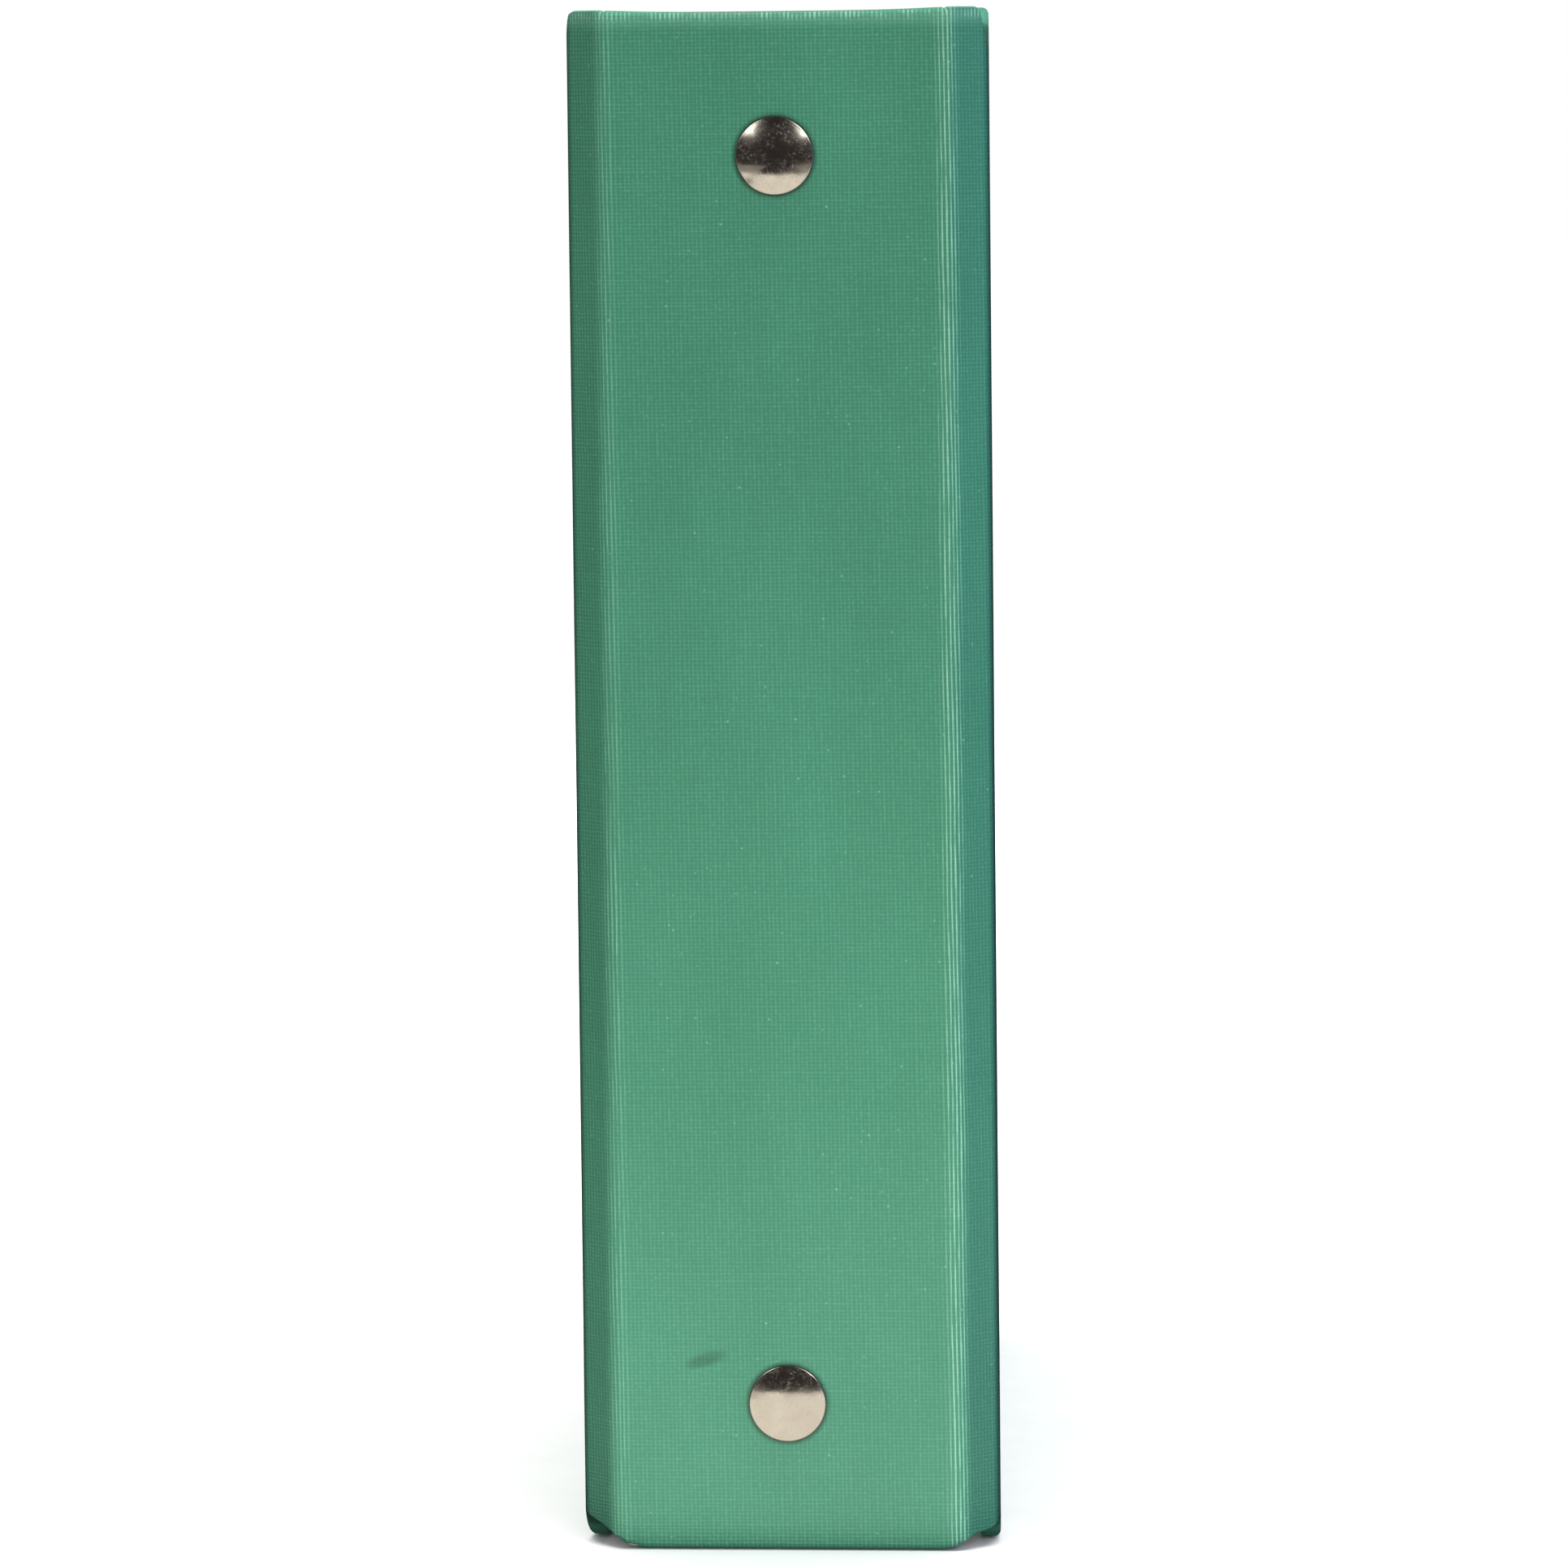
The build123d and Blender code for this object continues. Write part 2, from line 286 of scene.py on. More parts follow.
# ------------------------------------------------------------- covering film
def film_material():
    """Green embossed linen-grain film. UV is in millimetres along and up the cloth."""
    n = Nodes("green_linen_film")
    uv = n.uv("Cloth")
    # threads wander a little off true
    wob = n.noise(n.scaled(uv, 0.35, 0.035, 1), 1.0, 2.0)
    wob2 = n.noise(n.scaled(uv, 0.05, 0.5, 1), 1.0, 2.0)
    u, v, _ = n.xyz(uv)
    lean = n.math("MULTIPLY", v, 0.012)
    uu = n.math("ADD", n.math("ADD", u, lean), n.math("MULTIPLY", wob, 0.55))
    vv = n.math("ADD", v, n.math("MULTIPLY", wob2, 0.5))
    pu = n.math("MULTIPLY", uu, 2 * math.pi / THREAD)
    pv = n.math("MULTIPLY", vv, 2 * math.pi / PICK)
    warp = n.math("MULTIPLY_ADD", n.math("COSINE", pu), 0.5, 0.5)          # 1 on a vertical thread
    weft = n.math("MULTIPLY_ADD", n.math("COSINE", pv), 0.5, 0.5)
    half = n.math("COSINE", n.math("MULTIPLY", pu, 0.5))
    half2 = n.math("COSINE", n.math("MULTIPLY", pv, 0.5))
    over = n.math("MULTIPLY_ADD", n.math("MULTIPLY", half, half2), 0.5, 0.5)  # which thread lies on top
    # uneven thread strength: long thin streaks both ways
    slub_v = n.noise(n.scaled(uv, 1.41, 0.11, 1), 1.0, 4.0, 0.7)
    slub_h = n.noise(n.scaled(uv, 0.11, 1.67, 1), 1.0, 4.0, 0.7)
    cell = n.noise(n.scaled(uv, 1.41, 1.67, 1), 1.0, 1.0, 0.5)
    wa = n.math("MULTIPLY", warp, n.range(slub_v, 0.3, 0.7, 0.62, 1.16))
    we = n.math("MULTIPLY", weft, n.range(slub_h, 0.3, 0.7, 0.58, 1.12))
    top = n.math("MAXIMUM", n.math("MULTIPLY", wa, n.math("MULTIPLY_ADD", over, 0.35, 0.75)),
                 n.math("MULTIPLY", we, n.math("MULTIPLY_ADD", over, -0.35, 1.0)))
    grid = n.math("ADD", n.math("MULTIPLY", top, 0.65),
                  n.math("MULTIPLY", n.math("ADD", wa, we), 0.25))
    grid = n.math("MULTIPLY", grid, n.range(cell, 0.3, 0.7, 0.75, 1.2))
    # hard edges, painted highlight: threads beside each fold and crease stand out and catch the light; the pale is
    # painted, stronger on the front side
    au = n.math("ABSOLUTE", u)
    near_fold = n.range(n.math("ABSOLUTE", n.math("SUBTRACT", au, FOLD_S)), 0.7, 2.6, 1.0, 0.0, "SMOOTHSTEP")
    near_crease = n.range(n.math("ABSOLUTE", n.math("SUBTRACT", au, CREASE_S)), 0.4, 2.4, 1.0, 0.0, "SMOOTHSTEP")
    front = n.range(u, -5.0, 5.0, 0.5, 1.0)
    broken = n.range(n.noise(n.scaled(uv, 1.3, 0.11, 1), 1.0, 3.0, 0.65), 0.36, 0.56, 0.25, 1.0)
    crest = n.range(warp, 0.55, 0.9, 0.0, 1.0, "SMOOTHSTEP")
    fold_highlight = n.math("MULTIPLY", n.math("MULTIPLY", near_fold, crest), n.math("MULTIPLY", broken, front))
    fold_highlight = n.math("MULTIPLY", fold_highlight, n.range(n.noise(uv, 0.9, 2.0), 0.3, 0.7, 0.7, 1.0))
    # painted highlight: pale dashes along the rounded top edge, where the threads catch the light
    rim_t = n.math("MULTIPLY", n.range(v, H - 2.0, H - 1.0, 0.0, 1.0, "SMOOTHSTEP"),
                   n.range(v, H + 0.1, H - 0.5, 0.0, 1.0, "SMOOTHSTEP"))
    dash = n.math("MULTIPLY", n.range(warp, 0.45, 0.85, 0.0, 1.0, "SMOOTHSTEP"),
                  n.range(n.noise(n.scaled(uv, 0.35, 0.3, 1), 1.0, 3.0, 0.6), 0.42, 0.6, 0.1, 1.0))
    top_edge_highlight = n.math("MULTIPLY", rim_t, dash)
    # bright specks where the film shows through on a crossing
    speck = n.range(n.voronoi(n.scaled(uv, 0.40, 0.40, 1), 1.0), 0.085, 0.045, 0.0, 1.0)
    speck = n.math("MULTIPLY", speck, n.range(n.noise(n.scaled(uv, 0.33, 0.33, 1), 1.0, 3.0, 0.7), 0.40, 0.60, 0.0, 1.0))
    # tone drift of the sheet, in patches and long bands
    tone = n.noise(n.scaled(uv, 0.03, 0.012, 1), 1.0, 3.0, 0.55)
    fine = n.noise(uv, 3.2, 2.0, 0.6)
    base = n.mix(n.range(tone, 0.3, 0.7), rgb(63, 136, 107), rgb(71, 148, 118))
    # painted shade in the hollows of the grain and painted highlight on the raised threads
    base = n.mix(n.range(grid, 0.15, 0.95, 0.0, 1.0), n.mix(0.42, base, rgb(30, 92, 66)), base)
    base = n.mix(n.math("MULTIPLY", n.range(grid, 0.7, 1.15), 0.20), base, rgb(104, 178, 146))
    base = n.mix(n.math("MULTIPLY", n.range(fine, 0.35, 0.7), 0.10), base, rgb(40, 104, 78))
    # painted highlight: the pale fold threads and top-edge dashes, also a little shinier
    edge_highlight = n.math("MAXIMUM", n.math("MULTIPLY", fold_highlight, 0.70), n.math("MULTIPLY", top_edge_highlight, 0.7))
    base = n.mix(edge_highlight, base, rgb(158, 216, 190))
    base = n.mix(n.math("MULTIPLY", speck, 0.55), base, rgb(150, 208, 182))
    # painted shade: a dark ring on the cloth round each rivet's rim, and painted shade in the outer creases
    for rz in RIVETS:
        dv = n.math("SUBTRACT", v, rz)
        rad = n.math("SQRT", n.math("ADD", n.math("MULTIPLY", u, u), n.math("MULTIPLY", dv, dv)))
        base = n.mix(n.range(rad, 6.45, 7.15, 0.62, 0.0, "SMOOTHSTEP"), base, rgb(24, 58, 42))
    # painted shade in the outer creases, stronger towards the bottom
    crease_shade = n.range(n.math("ABSOLUTE", n.math("SUBTRACT", au, CREASE_S + 0.5)), 0.3, 2.1, 1.0, 0.0, "SMOOTHSTEP")
    crease_shade = n.math("MULTIPLY", crease_shade, n.range(v, H * 0.25, H, 0.74, 0.48))
    base = n.mix(crease_shade, base, rgb(16, 50, 50))
    # painted shade: a dark line just past each outer crease, stronger towards the bottom
    crease_rim_shade = n.range(n.math("ABSOLUTE", n.math("SUBTRACT", au, CREASE_S + 1.0)), 0.3, 1.5, 1.0, 0.0, "SMOOTHSTEP")
    base = n.mix(n.math("MULTIPLY", crease_rim_shade, n.range(v, 0.0, H, 0.85, 0.45)), base, rgb(8, 22, 30))
    # painted highlight: a paler band just under the top edge
    base = n.mix(n.math("MULTIPLY", n.range(v, H - 3.4, H - 1.6, 0.0, 1.0, "SMOOTHSTEP"), 0.16), base, rgb(140, 204, 176))
    # painted light: the cloth paler towards the bottom, standing in for the bounce from the table
    base = n.mix(n.range(v, H * 0.3, 0.0, 0.0, 0.06), base, rgb(140, 204, 176))
    # painted shade: the hinge strips and covers darker towards the bottom
    low = n.math("MULTIPLY", n.range(au, B - 0.5, B + 1.5, 0.0, 1.0, "SMOOTHSTEP"), n.range(v, H * 0.5, 0.0, 0.05, 0.34))
    base = n.mix(low, base, rgb(22, 62, 50))
    # a faint darker rubbed smear low on the spine, left of the lower rivet
    su = n.math("MULTIPLY", n.math("ADD", n.math("ADD", u, 13.3), n.math("MULTIPLY", n.math("SUBTRACT", v, 31.2), 0.35)), 1 / 3.7)
    sv = n.math("MULTIPLY", n.math("ADD", n.math("SUBTRACT", v, 31.2), n.math("MULTIPLY", n.math("ADD", u, 13.3), -0.30)), 1 / 1.15)
    r2 = n.math("ADD", n.math("MULTIPLY", su, su), n.math("MULTIPLY", sv, sv))
    smear = n.math("MULTIPLY", n.range(r2, 0.1, 1.6, 1.0, 0.0, "SMOOTHSTEP"),
                   n.range(n.noise(n.scaled(uv, 0.5, 1.3, 1), 1.0, 3.0), 0.3, 0.7, 0.65, 1.0))
    base = n.mix(n.math("MULTIPLY", smear, 0.68), base, rgb(38, 88, 66))
    # scuffs: few, long and faint
    scuff = n.range(n.noise(n.scaled(uv, 0.9, 0.045, 1), 1.0, 5.0, 0.7), 0.69, 0.76, 0.0, 0.25)
    base = n.mix(scuff, base, rgb(120, 186, 156))
    rough = n.math("ADD", n.range(grid, 0.1, 1.0, 0.52, 0.40),
                   n.math("MULTIPLY", n.math("SUBTRACT", fine, 0.5), 0.12))
    rough = n.math("SUBTRACT", rough, n.math("MULTIPLY", edge_highlight, 0.06), clamp=True)
    b1 = n.bump(grid, 0.62, 0.00011)
    b2 = n.bump(fine, 0.16, 0.00005, b1)
    b3 = n.bump(n.noise(n.scaled(uv, 0.09, 0.06, 1), 1.0, 2.0), 0.22, 0.0010, b2)
    return n.set(color=base, rough=rough, normal=b3, spec=0.6, ior=1.5, coat=0.06, coat_rough=0.35)


def lining_material():
    n = Nodes("dark_green_lining_paper")
    p = n.obj()
    fib = n.noise(n.scaled(p, 900, 900, 140), 1.0, 4.0, 0.65, 0.4)
    fib2 = n.noise(n.scaled(p, 240, 240, 900), 1.0, 3.0, 0.6)
    cloud = n.noise(p, 28.0, 4.0, 0.6)
    speck = n.range(n.voronoi(p, 520.0), 0.0, 0.16, 1.0, 0.0)
    c = n.mix(n.range(cloud, 0.3, 0.7), rgb(34, 84, 62), rgb(44, 98, 73))
    c = n.mix(n.math("MULTIPLY", n.range(fib, 0.35, 0.7), 0.35), c, rgb(62, 116, 90))
    c = n.mix(n.math("MULTIPLY", n.range(fib2, 0.45, 0.75), 0.25), c, rgb(22, 62, 45))
    c = n.mix(n.math("MULTIPLY", speck, 0.25), c, rgb(92, 136, 112))
    h = n.math("ADD", n.math("MULTIPLY", fib, 0.6), n.math("MULTIPLY", fib2, 0.5))
    b = n.bump(h, 0.45, 0.00009)
    b = n.bump(cloud, 0.12, 0.0006, b)
    return n.set(color=c, rough=n.range(fib, 0.3, 0.7, 0.86, 0.72), normal=b, spec=0.32)


def board_material():
    n = Nodes("greyboard")
    p = n.obj()
    lay = n.noise(n.scaled(p, 90, 1400, 90), 1.0, 4.0, 0.6, 0.6)
    pulp = n.noise(p, 1500.0, 4.0, 0.7)
    fleck = n.range(n.voronoi(n.scaled(p, 1, 1, 0.5), 900.0), 0.0, 0.2, 1.0, 0.0)
    c = n.mix(n.range(lay, 0.3, 0.7), rgb(150, 143, 130), rgb(174, 167, 153))
    c = n.mix(n.math("MULTIPLY", n.range(pulp, 0.4, 0.75), 0.5), c, rgb(120, 114, 104))
    c = n.mix(n.math("MULTIPLY", fleck, 0.5), c, rgb(84, 80, 74))
    b = n.bump(n.math("ADD", lay, pulp), 0.6, 0.0001)
    return n.set(color=c, rough=n.range(pulp, 0.3, 0.7, 0.95, 0.85), normal=b, spec=0.25)


def nickel_material(name, rough=0.16, edge_highlight=0.5):
    n = Nodes(name)
    p = n.obj()
    cloud = n.noise(p, 190.0, 4.0, 0.6)
    fine = n.noise(p, 2600.0, 3.0, 0.7)
    scr = n.noise(n.scaled(p, 2400, 700, 260), 1.0, 5.0, 0.75, 0.8)
    scr2 = n.noise(n.scaled(p, 300, 800, 2300), 1.0, 5.0, 0.75, 0.8)
    s = n.math("MAXIMUM", n.range(scr, 0.60, 0.72), n.range(scr2, 0.62, 0.74))
    pit = n.range(n.voronoi(p, 1500.0), 0.0, 0.10, 1.0, 0.0)
    c = n.mix(n.range(cloud, 0.3, 0.7), rgb(226, 220, 208), rgb(208, 201, 188))
    c = n.mix(n.math("MULTIPLY", s, 0.22 * edge_highlight), c, rgb(120, 112, 100))
    c = n.mix(n.math("MULTIPLY", pit, 0.22 * edge_highlight), c, rgb(86, 78, 68))
    r = n.math("ADD", n.range(cloud, 0.3, 0.7, rough * 0.8, rough * 1.35), n.math("MULTIPLY", s, 0.16 * edge_highlight))
    r = n.math("ADD", r, n.math("MULTIPLY", n.math("SUBTRACT", fine, 0.5), 0.05), clamp=True)
    b = n.bump(n.math("ADD", n.math("MULTIPLY", s, -1.0), n.math("MULTIPLY", fine, 0.3)), 0.10 * edge_highlight, 0.00004)
    return n.set(color=c, metal=1.0, rough=r, normal=b)


def rivet_material():
    """Polished nickel with handling marks and painted shade along the rim where it meets the cloth. UV: radius, angle.
    """
    n = Nodes("polished_nickel_rivet")
    p = n.obj()
    r, a, _ = n.xyz(n.uv("Cloth"))
    cloud = n.noise(p, 260.0, 4.0, 0.6)
    fine = n.noise(p, 3000.0, 3.0, 0.7)
    scr = n.noise(n.scaled(p, 1900, 400, 420), 1.0, 6.0, 0.8, 1.2)
    scr2 = n.noise(n.scaled(p, 500, 500, 2600), 1.0, 5.0, 0.8, 0.7)
    s = n.math("MAXIMUM", n.range(scr, 0.60, 0.70), n.range(scr2, 0.63, 0.72))
    pit = n.range(n.voronoi(p, 1100.0), 0.0, 0.08, 1.0, 0.0)
    edge = n.range(r, 6.02, 6.30, 0.0, 1.0, "SMOOTHSTEP")
    c = n.mix(n.range(cloud, 0.3, 0.7), rgb(232, 224, 211), rgb(218, 209, 195))
    c = n.mix(n.math("MULTIPLY", s, 0.12), c, rgb(110, 98, 86))
    c = n.mix(n.math("MULTIPLY", pit, 0.25), c, rgb(84, 74, 64))
    # painted shade: the cap's rim darkened where it meets the cloth
    c = n.mix(n.math("MULTIPLY", edge, 0.70), c, rgb(58, 50, 42))
    rr = n.math("ADD", n.range(cloud, 0.3, 0.7, 0.10, 0.20), n.math("MULTIPLY", s, 0.16))
    rr = n.math("ADD", rr, n.math("MULTIPLY", edge, 0.18), clamp=True)
    b = n.bump(n.math("ADD", n.math("MULTIPLY", s, -1.0), n.math("MULTIPLY", fine, 0.4)), 0.12, 0.00003)
    b = n.bump(cloud, 0.10, 0.0002, b)
    dust = n.math("MULTIPLY", n.range(n.noise(p, 2300.0, 4.0, 0.8, 0.6), 0.52, 0.72), n.range(n.noise(p, 420.0, 3.0, 0.6), 0.40, 0.62))
    c = n.mix(n.math("MULTIPLY", dust, 0.6), c, rgb(150, 140, 128))
    return n.set(color=c, metal=n.range(dust, 0.0, 1.0, 1.0, 0.62), rough=rr, normal=b)


def card_material():
    n = Nodes("black_stock_card")
    p = n.obj()
    grain = n.noise(n.scaled(p, 1200, 260, 1200), 1.0, 4.0, 0.65, 0.5)
    pulp = n.noise(p, 1700.0, 3.0, 0.7)
    cloud = n.noise(p, 20.0, 3.0, 0.5)
    lint = n.range(n.voronoi(n.scaled(p, 1, 0.35, 1), 330.0), 0.0, 0.07, 1.0, 0.0)
    c = n.mix(n.range(cloud, 0.3, 0.7), rgb(27, 27, 29), rgb(36, 36, 38))
    c = n.mix(n.math("MULTIPLY", n.range(grain, 0.4, 0.75), 0.5), c, rgb(52, 52, 55))
    c = n.mix(n.math("MULTIPLY", lint, 0.3), c, rgb(110, 110, 112))
    b = n.bump(n.math("ADD", grain, n.math("MULTIPLY", pulp, 0.6)), 0.5, 0.00008)
    return n.set(color=c, rough=n.range(pulp, 0.3, 0.7, 0.9, 0.76), normal=b, spec=0.3)


def strip_material():
    n = Nodes("clear_strip_film")
    p = n.obj()
    haze = n.noise(n.scaled(p, 30, 60, 240), 1.0, 4.0, 0.6)
    scr = n.range(n.noise(n.scaled(p, 60, 90, 1900), 1.0, 5.0, 0.75), 0.62, 0.72)
    dust = n.range(n.voronoi(p, 420.0), 0.0, 0.06, 1.0, 0.0)
    c = n.mix(n.math("MULTIPLY", dust, 0.5), rgb(214, 222, 222), rgb(245, 245, 240))
    al = n.math("ADD", n.range(haze, 0.3, 0.7, 0.10, 0.18), n.math("ADD", n.math("MULTIPLY", scr, 0.10),
                                                                   n.math("MULTIPLY", dust, 0.25)), clamp=True)
    b = n.bump(haze, 0.15, 0.0004)
    m = n.set(color=c, rough=n.range(haze, 0.3, 0.7, 0.08, 0.16), alpha=al, normal=b, spec=0.6)
    return m


FILM, LINING, BOARD = film_material(), lining_material(), board_material()
NICKEL, RIVET = nickel_material("nickel_plate", 0.2, 0.8), rivet_material()
WIRE, CARD, STRIP = nickel_material("bright_nickel_wire", 0.12, 0.5), card_material(), strip_material()


def give(ob, mat):
    ob.data.materials.clear() if "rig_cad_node" not in ob else None
    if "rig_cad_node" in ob:
        if not ob.data.materials:
            ob.data.materials.append(mat)
        for sl in ob.material_slots:
            sl.link = "OBJECT"
            sl.material = mat
    else:
        ob.data.materials.append(mat)


for name, ob in nodes.items():
    if name.endswith("_board"):
        give(ob, BOARD)
    elif name.endswith("_lining"):
        give(ob, LINING)
    elif name.endswith("_film"):
        give(ob, FILM)
    elif name.endswith("_strips"):
        give(ob, STRIP)
    elif name.startswith("leaf_"):
        give(ob, CARD)
    elif "ring_halves" in name:
        give(ob, WIRE)
    else:
        give(ob, NICKEL)


# ------------------------------------------------------------ the cloth skins
PEAK = D - 0.80                               # where the cover board begins


def corner(s):
    """Rise of the cover's rounded corner above its straight edge."""
    u = s - PEAK
    r = 6.5
    return r - math.sqrt(max(0.0, r * r - (r - u) ** 2)) if u < r else 0.0


def z_low(s, side):
    """Lower edge of the cloth along s: nipped up in the strip, round cover corner."""
    if s < PEAK:
        if side > 0:
            ks = ((A - 1.2, 0.0), (A + 0.8, 0.35), (B, 1.4), (B + 1.8, 2.1), (B + 3.6, 2.4), (C, 2.8), (PEAK - 0.7, 3.5), (PEAK, 4.2))
        else:
            ks = ((A - 2.6, 0.0), (A + 0.4, 0.75), (B, 2.2), (B + 2.5, 3.3), (C, 4.3), (PEAK - 0.7, 4.9), (PEAK, 5.2))
        z = ks[0][1]
        for (p, q), (r, w) in zip(ks, ks[1:]):
            if s >= r:
                z = w
            elif s > p:
                z = q + (w - q) * (s - p) / (r - p)
        return z
    return min(4.2 if side > 0 else 5.2, corner(s))


def z_high(s, side):
    """Upper edge: slack over the spine board, a small nick at each fold, the strip standing a hair proud."""
    slack = 0.28 * max(0.0, 1 - (s / 25.0) ** 4)
    notch = 0.34 * math.exp(-((s - FOLD_S + 0.1) / 0.30) ** 2)
    lift = 0.14 * smooth(A - 2.0, B + 0.6, s) * (1 - smooth(C - 0.5, C + 1.0, s))
    if s < PEAK:
        if side > 0:
            ks = ((C - 1.1, 0.0), (C - 0.4, 0.35), (C, 1.4), (C + 0.5, 2.9), (C + 1.0, 4.1), (C + 1.5, 5.1), (PEAK, 5.9))
        else:
            ks = ((C - 0.5, 0.0), (C + 0.8, 0.25), (C + 1.3, 0.7), (C + 1.7, 1.6), (PEAK, 3.0))
        relief = 0.0
        for (p, q), (r, w) in zip(ks, ks[1:]):
            if s >= r:
                relief = w
            elif s > p:
                relief = q + (w - q) * (s - p) / (r - p)
        return H - slack - notch - relief + lift
    return H - min(5.9 if side > 0 else 3.0, corner(s))


def loop(s, side, rows):
    """Path (v, z, w) round the cloth at s: inner hem, lower edge, outer face, upper edge, inner hem."""
    T = thick(s)
    ro = min(1.0, T / 2)
    ri = min(0.45, T / 2)
    zb, zt = z_low(s, side), z_high(s, side)
    pts = [(T, zb + 15.0), (T, zb + 8.0), (T, zb + 3.0)]
    for k in range(5):
        a = math.radians(90 * k / 4)
        pts.append((T - ri + ri * math.cos(a), zb + ri - ri * math.sin(a)))
    for k in range(7):
        a = math.radians(90 * k / 6)
        pts.append((ro - ro * math.sin(a), zb + ro - ro * math.cos(a)))
    first = len(pts)
    for k in range(1, rows):
        z = zb + ro + (zt - zb - 2 * ro) * k / rows
        pts.append((0.0, z))
    for k in range(7):
        a = math.radians(90 * k / 6)
        pts.append((ro - ro * math.cos(a), zt - ro + ro * math.sin(a)))
    for k in range(5):
        a = math.radians(90 * k / 4)
        pts.append((T - ri + ri * math.sin(a), zt - ri + ri * math.cos(a)))
    pts += [(T, zt - 3.0), (T, zt - 8.0), (T, zt - 15.0)]
    # path length as the second UV, equal to z on the outer face
    out = [[v, z, 0.0] for v, z in pts]
    for i in range(first, first + rows - 1):
        out[i][2] = out[i][1]
    out[first - 1][2] = out[first - 1][1]
    for i in range(first - 2, -1, -1):
        out[i][2] = out[i + 1][2] - math.dist(pts[i], pts[i + 1])
    last = first + rows - 1
    out[last][2] = out[last][1]
    for i in range(last + 1, len(pts)):
        out[i][2] = out[i - 1][2] + math.dist(pts[i], pts[i - 1])
    return out


def ridge(s, z, side):
    """Raised threads at a fold, as real relief; same phase as the grain."""
    near = max(0.0, 1 - (abs(s - FOLD_S) / 2.3) ** 2)
    ncr = max(0.0, 1 - (abs(s - CREASE_S) / 2.0) ** 2) * 0.35
    if near <= 0 and ncr <= 0:
        return 0.0
    u = side * s
    w = noise.noise(Vector((u * 0.35, z * 0.035, 3.1))) * 0.2
    ph = 2 * math.pi * (u + 0.012 * z + w) / THREAD
    vary = 0.75 + 0.5 * noise.noise(Vector((round((u + 0.012 * z) / THREAD) * 7.7, z * 0.05, 9.2)))
    return (near + ncr) * 0.045 * vary * math.cos(ph) * (1.0 if side > 0 else 0.6)


def skin(name, stations, side, rows=64, relief=False, sag=0.0):
    verts, uvs, faces = [], [], []
    n = None
    for s in stations:
        sd = side if side else (1 if s >= 0 else -1)
        path = loop(abs(s), sd, rows)
        n = len(path)
        for v, z, w in path:
            vv = v
            if relief and v < 0.6:
                vv -= ridge(abs(s), z, sd)
            x, y = at(abs(s), vv, sd)
            verts.append((x, y, z))
            uvs.append((sd * abs(s), w))
    m = len(stations)
    for i in range(m - 1):
        for j in range(n - 1):
            a, b = i * n + j, (i + 1) * n + j
            f = (a, b, b + 1, a + 1)
            faces.append(f if (stations[i + 1] * (side or 1) > stations[i] * (side or 1)) else f[::-1])
    ob = mesh_object(name, verts, faces, uvs)
    give(ob, FILM)
    return ob


def spread(a, b, step):
    k = max(2, int(math.ceil(abs(b - a) / step)))
    return [a + (b - a) * i / k for i in range(k + 1)]


def outward(ob, ref):
    """Makes faces look away from the body, tested on one face near ref (mm)."""
    me = ob.data
    best = min(me.polygons, key=lambda p: (p.center / MM - Vector(ref[0])).length)
    if best.normal.dot(Vector(ref[1])) < 0:
        me.flip_normals()
    return ob


S1, S2, S3, S4 = A - 0.7, B + 0.5, C - 0.5, D + 1.8

spine = skin("spine_skin", spread(-S1, S1, 1.2), 0, rows=90)
outward(spine, ((0, Y0, H / 2), (0, -1, 0)))
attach(spine, "spine")
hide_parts("spine_film")

